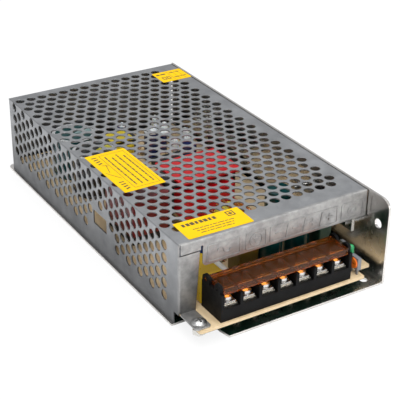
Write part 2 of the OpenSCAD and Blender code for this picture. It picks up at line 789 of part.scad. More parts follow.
module terminal_block() color([0.07, 0.07, 0.075]) {
    translate([0, 0, board_top]) {
        difference() {
            translate([block_x0, block_y0, 0]) cube([block_l, block_depth, floor_h]);
            // well under each screw
            for (i = [0 : ways - 1]) translate([way_x(i), term_y, floor_h - 5])
                cylinder(d = term_d + 0.6, h = 6);
            // slot for each contact's pin
            for (i = [0 : ways - 1])
                translate([way_x(i) - contact_pin[0] / 2, contact_pin_y - contact_pin[1] / 2, -1])
                    cube([contact_pin[0], contact_pin[1], floor_h + 2]);
        }
        translate([block_x0, block_y1 - 2, floor_h]) cube([block_l, 2, barrier_h - floor_h]);
        for (i = [1 : ways - 1])
            translate([block_x0 + i * way_pitch, block_y0, floor_h])
                cube([barrier_t, block_depth - 2, barrier_h - floor_h]);
    }
    for (x = [block_x0, block_x1 - barrier_t]) difference() {
        stand_yz(x, barrier_t) translate([block_y0, board_top]) ear_outline();
        rod_x(x - 1, x + barrier_t + 1, pivot_y, pivot_z, pivot_d + 2 * run_gap);
        rod_x(x - 1, x + barrier_t + 1, block_y0 + 3.6, pivot_z, 1);
    }
}

module terminal_contacts() color([0.80, 0.78, 0.70]) {
    for (i = [0 : ways - 1]) {
        translate([way_x(i) - 3.5, term_y - 3.4, bay_z]) difference() {
            cube([7, contact_pin_y + contact_pin[1] / 2 - term_y + 3.4, contact_t]);
            translate([3.5, 3.4, -1]) cylinder(d = term_d, h = 3);
        }
        translate([way_x(i) - contact_pin[0] / 2, contact_pin_y - contact_pin[1] / 2, board_z - 1])
            cube([contact_pin[0], contact_pin[1], bay_z - board_z + 1]);
    }
}

module terminal_cover() color([0.85, 0.42, 0.12, 0.6]) {
    x0 = block_x0 + barrier_t + 0.1;
    length = block_l - 2 * barrier_t - 0.2;
    top_z = pivot_z + lid_t;
    y0 = block_y0 + 1.2;
    y1 = pivot_y + 0.95;
    difference() {
        translate([x0, y0, top_z - lid_t - 0.4]) cube([length, y1 - y0, lid_t + 0.4]);
        translate([x0 + 1.2, y0 + 1.5, top_z - 0.4]) cube([length - 2.4, y1 - y0 - 4.2, 1]);
        translate([x0 + 1.2, y0 + 1.2, top_z - lid_t - 1])
            cube([length - 2.4, y1 - y0 - 3.2, 1]);
    }
    translate([x0, y0, top_z - lid_lip]) cube([length, 1.2, lid_lip - lid_t]);
    for (x = [x0, x0 + length - 1])
        translate([x, y0 + 1, pivot_z - 0.9]) cube([1, y1 - y0 - 1.3, 1]);
    rod_x(x0 - 1.1, x0 + 0.5, pivot_y, pivot_z, pivot_d);
    rod_x(x0 + length - 0.5, x0 + length + 1.1, pivot_y, pivot_z, pivot_d);
}

module terminal_screw(i) color([0.83, 0.83, 0.82]) {
    seat_z = bay_z + contact_t + run_gap + clamp_t + term_open;
    translate([way_x(i), term_y, seat_z])
        pan_screw(term_d - 2 * run_gap, term_head_d, term_head_h, seat_z - bay_z + 3);
}

module terminal_clamp(i) color([0.78, 0.78, 0.76]) {
    translate([way_x(i), term_y, bay_z + contact_t + run_gap]) difference() {
        union() {
            translate([-clamp_w / 2, -clamp_w / 2, 0]) cube([clamp_w, clamp_w, clamp_t]);
            cylinder(d = term_head_d - 0.6, h = clamp_t + term_open * 0.5);
        }
        translate([0, 0, -1]) cylinder(d = term_d + 0.2, h = 6);
    }
}

module terminal_screw_1() terminal_screw(0);
module terminal_screw_2() terminal_screw(1);
module terminal_screw_3() terminal_screw(2);
module terminal_screw_4() terminal_screw(3);
module terminal_screw_5() terminal_screw(4);
module terminal_screw_6() terminal_screw(5);
module terminal_screw_7() terminal_screw(6);
module terminal_clamp_1() terminal_clamp(0);
module terminal_clamp_2() terminal_clamp(1);
module terminal_clamp_3() terminal_clamp(2);
module terminal_clamp_4() terminal_clamp(3);
module terminal_clamp_5() terminal_clamp(4);
module terminal_clamp_6() terminal_clamp(5);
module terminal_clamp_7() terminal_clamp(6);

// ---- Indicator, trimmer and the small part behind them ----

module power_lamp() color([0.05, 0.62, 0.28]) {
    dome_z = 5.7 - led_d / 2;
    translate([lamp_x, led_y, led_z]) {
        difference() {
            cylinder(d = led_d + 0.8, h = 1);
            translate([led_d / 2 + 0.1, -led_d, -1]) cube([led_d, 2 * led_d, 3]);
        }
        cylinder(d = led_d, h = dome_z);
        translate([0, 0, dome_z]) sphere(d = led_d);
    }
}

module lamp_leads() color([0.75, 0.74, 0.70]) leads(lamp_wires, led_z);

// Upright trimmer; its rotor faces the terminal block
module trimmer_body() color([0.42, 0.43, 0.46]) {
    difference() {
        union() {
            translate([trim_x, trim_y - trim_w / 2, board_top + trim_leg])
                cube([trim_depth, trim_w, trim_h]);
            for (s = [-1, 1]) translate([trim_x + 0.2, trim_y + s * 1.9 - 0.6, board_top])
                cube([0.5, 1.2, trim_leg + eps]);
            translate([trim_x + trim_depth - 0.6, trim_y - 0.4, board_top])
                cube([0.5, 0.8, trim_leg + eps]);
        }
        rod_x(trim_x - 1, trim_x + rotor_in, trim_y, rotor_z, rotor_d + 2 * run_gap);
    }
}

module trimmer_rotor() color([0.93, 0.45, 0.08]) {
    difference() {
        rod_x(trim_x - rotor_out, trim_x + rotor_in - run_gap, trim_y, rotor_z, rotor_d);
        translate([trim_x - rotor_out - 1, trim_y - rotor_d * 0.36, rotor_z - 0.35])
            cube([1.7, rotor_d * 0.72, 0.7]);
    }
}

// Small diode that stands on bent leads
module series_diode() color([0.70, 0.71, 0.74]) {
    x = lamp_x + 0.95;
    y = led_y + 5.6;
    z = board_top + 9;
    rod_y(y - 2, y + 2, x, z, 1.9);
    rod_y(y - 3, y + 3, x, z, 0.6);
    for (s = [-1, 1]) translate([x, y + s * 3, board_top]) {
        cylinder(d = 0.6, h = z - board_top);
        translate([0, 0, z - board_top]) sphere(d = 0.6);
    }
}

// ---- Input parts ----

module x_capacitor() color([0.90, 0.72, 0.10]) {
    translate([xcap_x, xcap_y - xcap_l / 2, board_top + 0.3]) round_box([xcap_w, xcap_l, 12.7], 1);
    leads(xcap_leads, board_top + 1);
}

module varistor() color([0.10, 0.22, 0.55]) {
    z = board_top + 1.6 + varistor_d / 2;
    rod_y(varistor_y - 2.2, varistor_y + 2.2, varistor_x, z, varistor_d);
    leads(varistor_leads, board_top + 4.6);
}

module fuse_clips() color([0.78, 0.77, 0.72]) {
    for (s = [-1, 1]) translate([fuse_x - 3.5, fuse_y + s * (fuse_l / 2 - 2) - 2, board_top])
        difference() {
            cube([7, 4, 7]);
            translate([1, -1, 1]) cube([5, 6, 7]);
        }
}

module fuse() color([0.85, 0.86, 0.84]) {
    rod_y(fuse_y - fuse_l / 2, fuse_y + fuse_l / 2, fuse_x, board_top + 3.5, 4.9);
}

module bridge_rectifier() color([0.10, 0.10, 0.11]) {
    translate([bridge_x - 11, bridge_y - 1.9, board_top + 4]) round_box([22, 3.8, 15], 0.6);
    leads(bridge_leads, board_top + 5);
}

module thermistor() color([0.12, 0.13, 0.12]) {
    rod_y(thermistor_y - 2.2, thermistor_y + 2.2, thermistor_x, board_top + 9, 13);
    leads(thermistor_leads, board_top + 5);
}

module line_choke_core() color([0.16, 0.15, 0.15]) {
    translate([choke_x - choke_w / 2, choke_y - choke_l / 2, board_top]) difference() {
        round_box([choke_w, choke_l, choke_h - 2], 1);
        translate([4.5, 4.5, -1]) cube([choke_w - 9, choke_l - 9, choke_h]);
    }
}

module line_choke_winding() color([0.42, 0.06, 0.06]) {
    wall = 1.2;
    inner = [choke_w + 0.2, choke_l + 0.2];
    translate([choke_x - inner[0] / 2 - wall, choke_y - inner[1] / 2 - wall, board_top + 5])
        difference() {
            round_box([inner[0] + 2 * wall, inner[1] + 2 * wall, choke_h - 5], 2.5);
            translate([wall, wall, -1]) cube([inner[0], inner[1], choke_h - 5.95]);
        }
}

module bulk_capacitor(y, shade) color(shade) {
    translate([bulk_x, y, board_top]) difference() {
        cylinder(d = bulk_d, h = bulk_h);
        translate([0, 0, bulk_h - 0.4]) cylinder(d = bulk_d - 3, h = 1);
        translate([0, 0, 2.2]) rotate_extrude() translate([bulk_d / 2 + 0.5, 0]) circle(1.1);
    }
    leads([for (p = bulk_leads) if (p[1] == y) p], board_top + 1);
}

module bulk_capacitor_1() bulk_capacitor(bulk_y1, [0.05, 0.25, 0.25]);
module bulk_capacitor_2() bulk_capacitor(bulk_y2, [0.05, 0.25, 0.25]);

// ---- Transformers and chokes ----

// E-core pair around a winding; the legs stand along X
module core_pair(size, leg) {
    difference() {
        translate([-size[0] / 2, -size[1] / 2, 0]) cube(size);
        for (s = [-1, 1]) translate([
            s > 0 ? leg : leg - size[0] / 2,
            -size[1] / 2 - 1,
            leg * 0.9
        ]) cube([size[0] / 2 - 2 * leg, size[1] + 2, size[2] - 1.8 * leg]);
    }
}

module driver_transformer_core() color([0.14, 0.14, 0.145]) {
    translate([driver_x, driver_y, board_top + 3]) core_pair([driver_w, 6, driver_h], 2.6);
}

module driver_transformer_winding() color([0.88, 0.76, 0.12]) {
    inner = driver_w / 2 - 2.7;
    translate([driver_x, driver_y, board_top + 3 + 2.44]) difference() {
        translate([-inner, -7.5, 0]) round_box([2 * inner, 15, driver_h - 4.8], 2);
        translate([-2.7, -3.1, -1]) cube([5.4, 6.2, 15]);
    }
    translate([driver_x - 8, driver_y - 7.5, board_top]) difference() {
        cube([16, 15, 5.34]);
        translate([-1, 4.4, 2.9]) cube([18, 6.2, 5]);
    }
    // tape over the top of the core
    translate([driver_x - inner, driver_y - 6, board_top + 3 + driver_h])
        round_box([2 * inner, 12, 0.8], 0.3);
}

module main_transformer_core() color([0.12, 0.12, 0.125]) {
    translate([trafo_x, trafo_y, board_top + 4])
        core_pair([trafo_w, 12, trafo_h - 5], 4.6);
}

module main_transformer_winding() color([0.80, 0.05, 0.05]) {
    inner = trafo_w / 2 - 4.8;
    translate([trafo_x, trafo_y, board_top + 4 + 4.2]) difference() {
        translate([-inner, -trafo_l / 2, 0])
            round_box([2 * inner, trafo_l, trafo_h - 5 - 8.4], 4);
        translate([-4.7, -6.1, -1]) cube([9.4, 12.2, trafo_h]);
    }
    // tape over the top of the core
    translate([trafo_x - inner, trafo_y - trafo_l / 2 + 3, board_top + trafo_h - 1])
        round_box([2 * inner + 4.4, trafo_l - 6, 1], 1);
}

module main_transformer_bobbin() color([0.55, 0.45, 0.28]) {
    translate([trafo_x - 16, trafo_y - trafo_l / 2, board_top]) difference() {
        cube([32, trafo_l, 8.15]);
        translate([-1, trafo_l / 2 - 6.1, 3.9]) cube([34, 12.2, 8]);
    }
    leads(trafo_leads, board_top + 1);
}

module toroid_core() color([0.75, 0.70, 0.20]) {
    ring_r = (toroid_d - 2 * wire_d) / 2;
    translate([toroid_x, toroid_y, board_top + toroid_d / 2]) rotate([90, 0, 0])
        rotate_extrude() translate([ring_r * 0.5, -(toroid_t - 2 * wire_d) / 2])
            square([ring_r * 0.5, toroid_t - 2 * wire_d]);
}

// One square turn of wire round the ring's section
module toroid_turn(r0, r1, t) {
    for (s = [-1, 1]) translate([r0 - wire_d / 2, s * (t / 2 + wire_d / 2), 0])
        rotate([0, 90, 0]) cylinder(d = wire_d, h = r1 - r0 + wire_d);
    for (r = [r0 - wire_d / 2, r1 + wire_d / 2]) {
        translate([r, t / 2 + wire_d / 2, 0]) rotate([90, 0, 0])
            cylinder(d = wire_d, h = t + wire_d);
        for (s = [-1, 1]) translate([r, s * (t / 2 + wire_d / 2), 0]) sphere(d = wire_d);
    }
}

module toroid_winding() color([0.72, 0.38, 0.16]) {
    ring_r = (toroid_d - 2 * wire_d) / 2;
    translate([toroid_x, toroid_y, board_top + toroid_d / 2])
        for (i = [0 : turns - 1]) rotate([0, 90 + (i + 0.5) * 360 / turns, 0])
            toroid_turn(ring_r * 0.5, ring_r, toroid_t - 2 * wire_d);
    leads(toroid_leads, toroid_lead_z);
}

module taped_choke() color([0.45, 0.36, 0.10]) {
    translate([taped_x, taped_y, board_top]) {
        difference() {
            translate([-5.5, -5, 0]) round_box([11, 10, 15], 1.5);
            translate([-1.6, -6, 11]) cube([3.2, 12, 5]);
        }
        translate([-1.5, -4.2, 10]) cube([3, 8.4, 5.6]);
    }
}

// ---- Output parts ----

module output_capacitors() color([0.03, 0.33, 0.33]) {
    for (p = out_cap_xy) translate([p[0], p[1], board_top]) difference() {
        cylinder(d = out_cap_d, h = out_cap_h);
        translate([0, 0, out_cap_h - 0.3]) cylinder(d = out_cap_d - 2, h = 1);
        translate([0, 0, 1.8]) rotate_extrude() translate([out_cap_d / 2 + 0.35, 0]) circle(0.8);
    }
    leads(out_cap_leads, board_top + 1);
}

module film_capacitor() color([0.08, 0.22, 0.14]) {
    translate([film_cap_x, film_cap_y, board_top + 0.3]) round_box([7.5, 13, 14], 1);
    leads(film_cap_leads, board_top + 1);
}

module power_devices() color([0.09, 0.09, 0.10]) {
    for (i = [0 : 2])
        translate([film_x - device_t, device_y[i] - device_w[i] / 2, device_z]) difference() {
            cube([device_t, device_w[i], device_h]);
            translate([-1, -1, device_h - 4]) cube([device_t - 0.3, device_w[i] + 2, 5]);
        }
    for (p = device_leads) translate([p[0] - 0.3, p[1] - 0.4, board_z - 1])
        cube([0.6, 0.8, device_z - board_z + 1.5]);
}

// Bars that press the devices against the side wall
module clamp_bars() color([0.70, 0.71, 0.73]) {
    for (p = [[0, 1], [2, 3]]) difference() {
        y0 = bar_screw_y[p[0]] - 4;
        y1 = bar_screw_y[p[1]] + 4;
        translate([film_x - device_t - bar_t, y0, bar_z]) cube([bar_t, y1 - y0, bar_h]);
        for (k = p) rod_x(film_x - 10, film_x, bar_screw_y[k], bar_screw_z, screw_d);
    }
}

module bar_screws() color([0.82, 0.82, 0.80]) {
    for (y = bar_screw_y) flat_screw(y, bar_screw_z, film_x - device_t - bar_t - 1.5);
}

module control_chip() color([0.08, 0.08, 0.09]) {
    translate([logic_x + 10, logic_y + 40, board_top + 0.6]) difference() {
        cube([chip_w, 6.5, 3.4]);
        translate([0, 3.25, 3.4]) rotate([0, 90, 0]) cylinder(d = 1.4, h = 1);
    }
    for (p = chip_leads) translate([p[0] - 0.3, p[1] - 0.15, board_z - 0.6])
        cube([0.6, 0.3, board_t + 3]);
}

module small_capacitors() color([0.06, 0.10, 0.30]) {
    for (p = small_caps) translate([logic_x + p[0], logic_y + p[1], board_top]) difference() {
        cylinder(d = p[2], h = p[3]);
        translate([0, 0, p[3] - 0.2]) cylinder(d = p[2] - 1.4, h = 1);
    }
    leads(small_cap_leads, board_top + 1);
}

module resistors() color([0.80, 0.70, 0.50]) {
    for (p = resistor_xy) translate([logic_x + p[0], logic_y + p[1], board_top + 1.4]) {
        rod_x(-3, 3, 0, 0, 2.4);
        rod_x(-4.7, 4.7, 0, 0, 0.6);
    }
    leads(resistor_leads, board_top + 1.4);
}

// ---- Stickers ----

module label_side() color([1.0, 0.83, 0.02]) {
    translate([cover_left + 2.7, cover_front + 51.5, cover_top])
        round_box([side_label[0], side_label[1], label_t], 0.5);
}

module label_front() color([1.0, 0.83, 0.02]) {
    translate([cover_left + 22.1, cover_front + 9.2, cover_top]) rotate([0, 0, -1.3])
        translate([-front_label[0] / 2, -front_label[1] / 2, 0])
            round_box([front_label[0], front_label[1], label_t], 0.5);
}

module label_rear() color([1.0, 0.83, 0.02]) {
    translate([cover_right - 0.1 - rear_label[0], cover_rear - 22.3, cover_top])
        round_box([rear_label[0], rear_label[1], label_t], 0.5);
}

base_chassis();
mesh_cover();
main_board();
insulating_film();
board_standoffs();
board_screws();
cover_screws();
foot_screw();
foot_nut();
terminal_block();
terminal_contacts();
terminal_cover();
terminal_screw_1();
terminal_screw_2();
terminal_screw_3();
terminal_screw_4();
terminal_screw_5();
terminal_screw_6();
terminal_screw_7();
terminal_clamp_1();
terminal_clamp_2();
terminal_clamp_3();
terminal_clamp_4();
terminal_clamp_5();
terminal_clamp_6();
terminal_clamp_7();
power_lamp();
lamp_leads();
trimmer_body();
trimmer_rotor();
series_diode();
x_capacitor();
varistor();
fuse();
fuse_clips();
bridge_rectifier();
thermistor();
line_choke_core();
line_choke_winding();
bulk_capacitor_1();
bulk_capacitor_2();
driver_transformer_core();
driver_transformer_winding();
main_transformer_core();
main_transformer_winding();
main_transformer_bobbin();
toroid_core();
toroid_winding();
output_capacitors();
taped_choke();
film_capacitor();
power_devices();
clamp_bars();
bar_screws();
control_chip();
small_capacitors();
resistors();
label_side();
label_front();
label_rear();
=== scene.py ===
# %% [markdown]
# # Mesh case power supply
# A small open-front power supply: a polished base, a perforated grey cover, a board with
# its parts, and a row of screw terminals under a clear amber cover. The shapes come from
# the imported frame. This script gives each surface its finish and adds the small soft or
# printed things that a solid model leaves out: print, marks, silicone and a thin wire.

# %% Load the frame
import math

import bpy
from mathutils import Matrix, Vector


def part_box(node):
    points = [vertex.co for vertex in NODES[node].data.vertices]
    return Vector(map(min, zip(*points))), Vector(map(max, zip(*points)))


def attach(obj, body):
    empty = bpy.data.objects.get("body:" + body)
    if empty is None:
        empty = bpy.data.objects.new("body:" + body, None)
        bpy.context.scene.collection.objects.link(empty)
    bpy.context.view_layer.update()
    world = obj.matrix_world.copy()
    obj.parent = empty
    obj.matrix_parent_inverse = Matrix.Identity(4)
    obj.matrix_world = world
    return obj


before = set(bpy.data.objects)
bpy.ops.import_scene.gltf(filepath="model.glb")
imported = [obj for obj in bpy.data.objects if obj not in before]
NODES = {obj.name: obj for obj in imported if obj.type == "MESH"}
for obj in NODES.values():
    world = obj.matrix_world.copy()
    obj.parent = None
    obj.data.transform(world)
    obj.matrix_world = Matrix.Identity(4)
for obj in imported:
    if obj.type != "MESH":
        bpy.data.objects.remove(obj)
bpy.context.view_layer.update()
MM = 0.001

# %% [markdown]
# ## Camera
# A long lens from the front left and above flattens the case a little and still shows the
# terminals, the left wall and the roof at once. The camera is placed by its azimuth,
# elevation and a slight roll round a point near the middle of the case, because those
# few numbers are easier to adjust than a bare matrix.

# %% Place the camera
AZIMUTH, ELEVATION, ROLL = (math.radians(a) for a in (-31.952, 28.453, 0.817))
TARGET = Vector((-4.82, -26.45, 24.97)) * MM
DISTANCE = 532.83 * MM
LENS_LENGTH, SENSOR_WIDTH = 102.6, 36.0
NEAREST_SEEN = 10 * MM


def camera_axes(azimuth, elevation, roll):
    """The camera's right, up and backward directions."""
    back = Vector((
        math.sin(azimuth) * math.cos(elevation),
        -math.cos(azimuth) * math.cos(elevation),
        math.sin(elevation),
    ))
    right = Vector((0, 0, 1)).cross(back).normalized()
    up = back.cross(right)
    turned_right = right * math.cos(roll) + up * math.sin(roll)
    turned_up = up * math.cos(roll) - right * math.sin(roll)
    return turned_right, turned_up, back


right, up, back = camera_axes(AZIMUTH, ELEVATION, ROLL)
camera_data = bpy.data.cameras.new("camera")
camera_data.lens = LENS_LENGTH
camera_data.sensor_width = SENSOR_WIDTH
camera_data.clip_start = NEAREST_SEEN
camera = bpy.data.objects.new("camera", camera_data)
bpy.context.scene.collection.objects.link(camera)
camera.matrix_world = Matrix.Translation(TARGET + back * DISTANCE) @ Matrix(
    (right, up, back)
).transposed().to_4x4()
bpy.context.scene.camera = camera
print("camera at", tuple(round(v, 3) for v in camera.matrix_world.translation))

# %% [markdown]
# ## Node helpers
# Every finish is a Principled shader with some procedural detail fed into its colour,
# roughness and normal. All patterns read Object coordinates, so they keep their size in
# metres and move with the piece. These small helpers keep each material short.


# %% Define the node helpers
MIX_COLOURS_IN = (6, 7)   # the Mix node's colour sockets come after its other types
MIX_COLOUR_OUT = 2
NOISE_LOW, NOISE_HIGH = 0.3, 0.7   # nearly all of a noise lies between these


class Finish:
    """A material under construction: its tree, its shader and its object coordinates."""

    def __init__(self, name, colour, rough=0.5, metal=0.0, **sockets):
        self.material = bpy.data.materials.new(name)
        self.material.use_nodes = True
        self.tree = self.material.node_tree
        self.shader = self.tree.nodes["Principled BSDF"]
        self.set(self.shader, "Base Color", (*colour[:3], 1.0))
        self.set(self.shader, "Roughness", rough)
        self.set(self.shader, "Metallic", metal)
        for key, value in sockets.items():
            self.set(self.shader, key.replace("_", " "), value)
        self.coords = self.tree.nodes.new("ShaderNodeTexCoord").outputs["Object"]
        self.normal = None

    @staticmethod
    def set(node, socket, value):
        node.inputs[socket].default_value = value

    def link(self, output, node, socket):
        self.tree.links.new(output, node.inputs[socket])

    def stretched(self, scale):
        """Object coordinates in which a pattern is drawn out where the scale is small."""
        mapping = self.tree.nodes.new("ShaderNodeMapping")
        self.link(self.coords, mapping, "Vector")
        self.set(mapping, "Scale", scale)
        return mapping.outputs["Vector"]

    def noise(self, scale, detail=3.0, rough=0.5, vector=None):
        node = self.tree.nodes.new("ShaderNodeTexNoise")
        self.link(vector or self.coords, node, "Vector")
        self.set(node, "Scale", scale)
        self.set(node, "Detail", detail)
        self.set(node, "Roughness", rough)
        return node.outputs["Fac"]

    def cells(self, scale):
        """A random colour for each cell of a Voronoi pattern."""
        node = self.tree.nodes.new("ShaderNodeTexVoronoi")
        self.link(self.coords, node, "Vector")
        self.set(node, "Scale", scale)
        return node.outputs["Color"]

    def layers(self, scale, distort):
        """Slightly wavy bands stacked along Z."""
        node = self.tree.nodes.new("ShaderNodeTexWave")
        node.bands_direction = "Z"
        self.link(self.coords, node, "Vector")
        self.set(node, "Scale", scale)
        self.set(node, "Distortion", distort)
        return node.outputs["Fac"]

    def ramp(self, factor, low, high, start, end):
        """Maps low..high to start..end, and holds the ends beyond."""
        node = self.tree.nodes.new("ShaderNodeMapRange")
        self.link(factor, node, "Value")
        ends = {"From Min": low, "From Max": high, "To Min": start, "To Max": end}
        for socket, value in ends.items():
            self.set(node, socket, value)
        return node.outputs["Result"]

    def spread(self, noise, start, end):
        """Maps the bulk of a noise to start..end."""
        return self.ramp(noise, NOISE_LOW, NOISE_HIGH, start, end)

    def maths(self, kind, a, b=0.0):
        node = self.tree.nodes.new("ShaderNodeMath")
        node.operation = kind
        for index, value in enumerate((a, b)):
            if isinstance(value, (int, float)):
                node.inputs[index].default_value = value
            else:
                self.tree.links.new(value, node.inputs[index])
        return node.outputs["Value"]

    def axis(self, name, vector=None):
        """One component of a vector, or of the object coordinates."""
        node = self.tree.nodes.new("ShaderNodeSeparateXYZ")
        self.link(vector or self.coords, node, "Vector")
        return node.outputs[name]

    def mix(self, factor, a, b):
        """Blends two colours or colour outputs; a at factor 0, b at factor 1."""
        node = self.tree.nodes.new("ShaderNodeMix")
        node.data_type = "RGBA"
        self.link(factor, node, "Factor")
        for socket, value in zip((node.inputs[i] for i in MIX_COLOURS_IN), (a, b)):
            if isinstance(value, (tuple, list)):
                socket.default_value = (*value[:3], 1.0)
            else:
                self.tree.links.new(value, socket)
        return node.outputs[MIX_COLOUR_OUT]

    def colour(self, output):
        self.link(output, self.shader, "Base Color")

    def roughness(self, output):
        self.link(output, self.shader, "Roughness")

    def bump(self, height, distance, strength=1.0):
        node = self.tree.nodes.new("ShaderNodeBump")
        self.link(height, node, "Height")
        self.set(node, "Distance", distance)
        self.set(node, "Strength", strength)
        if self.normal is not None:
            self.link(self.normal, node, "Normal")
        self.normal = node.outputs["Normal"]
        self.link(self.normal, self.shader, "Normal")

    def soft_edges(self, radius):
        node = self.tree.nodes.new("ShaderNodeBevel")
        node.samples = 4
        self.set(node, "Radius", radius)
        self.normal = node.outputs["Normal"]
        self.link(self.normal, self.shader, "Normal")


def dress(finish, *names):
    """Puts a finish on CAD nodes, in every slot they have."""
    for name in names:
        mesh = NODES[name].data
        if not mesh.materials:
            mesh.materials.append(finish.material)
        for index in range(len(mesh.materials)):
            mesh.materials[index] = finish.material
    print("finish", finish.material.name, "on", len(names), "nodes")


def tint(colour, amount):
    """A colour made darker or paler by one factor."""
    return tuple(min(1.0, c * amount) for c in colour[:3])


# %% [markdown]
# ## Sheet metal
# The cover is hot-dip galvanised steel: dull blue-grey, with faint cloudy crystals and a
# few blotches where the lip was pressed, and painted shade darkens its walls low down. One
# way is a
# single grey with some gloss; here a cell pattern gives the zinc crystals and noise gives
# the clouds, because a flat grey reads as paint.

# %% Galvanised cover
zinc = Finish("galvanised_sheet", (0.27, 0.277, 0.285), 0.44, 0.88)
zinc.soft_edges(0.3 * MM)
clouds = zinc.noise(55, 4, 0.6)
crystals = zinc.axis("X", zinc.cells(260))
blotches = zinc.noise(190, 3, 0.65)
cloudy = zinc.spread(clouds, 0, 1)
body = zinc.mix(cloudy, (0.235, 0.243, 0.252), (0.305, 0.313, 0.322))
body = zinc.mix(zinc.ramp(crystals, 0, 1, 0, 0.22), body, (0.39, 0.395, 0.405))
# the pressed front is mottled: from here forwards the flange and the lip begin
FRONT_STARTS, FRONT_FULL = -79.9 * MM, -81.3 * MM
front = zinc.ramp(zinc.axis("Y"), FRONT_STARTS, FRONT_FULL, 0, 1)
blotchy = zinc.ramp(blotches, 0.36, 0.64, 0, 1)
mottled = zinc.mix(blotchy, (0.28, 0.278, 0.275), (0.42, 0.417, 0.41))
# painted shade darkens the walls low down; the foot, the part furthest forward, is kept out
# of it and stays bright
PAINTED_SHADE_FULL_BELOW, PAINTED_SHADE_ENDS_ABOVE, PAINTED_SHADE_LOW_SHARE = 8 * MM, 36 * MM, 0.42
FOOT_FRONT = -82.5 * MM
height = zinc.ramp(zinc.axis("Z"), PAINTED_SHADE_FULL_BELOW, PAINTED_SHADE_ENDS_ABOVE, PAINTED_SHADE_LOW_SHARE, 1.0)
foot = zinc.maths("LESS_THAN", zinc.axis("Y"), FOOT_FRONT)
shade = zinc.maths("MAXIMUM", height, foot)
# the zinc colour is multiplied by this painted shade
zinc.colour(zinc.mix(shade, (0, 0, 0), zinc.mix(front, body, mottled)))
zinc.roughness(zinc.spread(zinc.noise(140, 3), 0.36, 0.54))
zinc.bump(zinc.noise(900, 3, 0.6), 0.01 * MM, 0.5)
zinc.bump(blotches, 0.03 * MM, 0.3)
dress(zinc, "mesh_cover")

# %% [markdown]
# The base is bright aluminium, almost a mirror, with fine rolling lines along its length.
# Noise stretched along one axis gives such lines without drawing each one, and a second,
# slow noise makes the gloss uneven, as handling does.

# %% Polished base
polish = Finish("chassis_metal", (0.70, 0.68, 0.65), 0.2, 1.0)
polish.soft_edges(0.3 * MM)
rolling = polish.noise(700, 3, 0.6, polish.stretched((1, 0.02, 1)))
haze = polish.noise(35, 4, 0.6)
hazy = polish.spread(haze, 0, 1)
polish.colour(polish.mix(hazy, (0.62, 0.60, 0.575), (0.78, 0.76, 0.73)))
polish.roughness(polish.spread(polish.noise(90, 4), 0.15, 0.32))
polish.bump(rolling, 0.004 * MM, 0.5)
dress(polish, "base_chassis")

# %% [markdown]
# ## Board
# A tan paper laminate with a dark green solder side. The board could be painted face by
# face, but one rule on height does it for every hole too: the lowest tenth of a
# millimetre is green, all above it is tan. Fine paper fibre gives the tan its grain.

# %% Laminate
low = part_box("main_board")[0]
laminate = Finish("board_laminate", (0.66, 0.52, 0.33), 0.5)
fibre = laminate.noise(420, 4, 0.6, laminate.stretched((1, 0.25, 1)))
grain = laminate.spread(fibre, 0, 1)
tan = laminate.mix(grain, (0.56, 0.42, 0.24), (0.69, 0.54, 0.34))
green = laminate.mix(laminate.noise(160, 3), (0.0, 0.022, 0.012), (0.004, 0.06, 0.032))
SOLDER_COAT = 0.12 * MM
upper = laminate.maths("GREATER_THAN", laminate.axis("Z"), low.z + SOLDER_COAT)
laminate.colour(laminate.mix(upper, green, tan))
laminate.roughness(laminate.spread(fibre, 0.42, 0.6))
laminate.bump(fibre, 0.01 * MM, 0.5)
dress(laminate, "main_board")

# %% [markdown]
# ## Mouldings
# The terminal block is black glass-filled plastic with a fine spark-eroded grain. The
# other mouldings are smaller and shinier. One function makes them all: a base colour,
# slight cloudiness, and a grain whose size and depth change from piece to piece.


# %% Moulded and dipped plastics
def moulding(name, colour, rough, grain=1500, depth=0.008, cloud=0.14, **sockets):
    finish = Finish(name, colour, rough, 0.0, **sockets)
    finish.soft_edges(0.18 * MM)
    clouds = finish.noise(180, 3)
    finish.colour(finish.mix(clouds, tint(colour, 1 - cloud), tint(colour, 1 + cloud)))
    finish.roughness(finish.spread(finish.noise(300, 3), rough * 0.85, rough * 1.2))
    finish.bump(finish.noise(grain, 2), depth * MM, 0.6)
    return finish


dress(moulding("black_moulding", (0.003, 0.003, 0.0034), 0.5, 1800, 0.008,
               Specular_IOR_Level=0.1), "terminal_block")
dress(moulding("black_epoxy", (0.014, 0.014, 0.016), 0.5, 2200, 0.014),
      "bridge_rectifier", "power_devices", "control_chip", "thermistor")
dress(moulding("yellow_case", (0.80, 0.53, 0.015), 0.32), "x_capacitor")
dress(moulding("blue_coating", (0.012, 0.045, 0.22), 0.3, 500, 0.03), "varistor")
dress(moulding("grey_cermet", (0.16, 0.165, 0.18), 0.4), "trimmer_body")
dress(moulding("orange_rotor", (0.87, 0.17, 0.012), 0.33, Subsurface_Weight=0.1),
      "trimmer_rotor")
dress(moulding("green_case", (0.008, 0.04, 0.022), 0.35), "film_capacitor")
dress(moulding("bobbin_plastic", (0.30, 0.21, 0.10), 0.45), "main_transformer_bobbin")
dress(moulding("fuse_tube", (0.75, 0.76, 0.74), 0.2), "fuse")
dress(moulding("resistor_coat", (0.58, 0.42, 0.22), 0.4), "resistors")
dress(moulding("ferrite", (0.022, 0.022, 0.024), 0.55, 1300, 0.02),
      "main_transformer_core", "driver_transformer_core", "line_choke_core")
dress(moulding("yellow_core", (0.50, 0.43, 0.05), 0.5), "toroid_core")


# %% [markdown]
# ## Wound tape and shrunk sleeves
# Tape goes round a coil in overlapping turns, so its sides show fine parallel steps and a
# soft gloss. Modelling each turn would take thousands of faces for a step that is hardly
# seen, so a wave bump along Z gives the steps. Capacitor sleeves are shrunk film: smooth
# and glossy, with a paler stripe down one side that marks the negative lead.


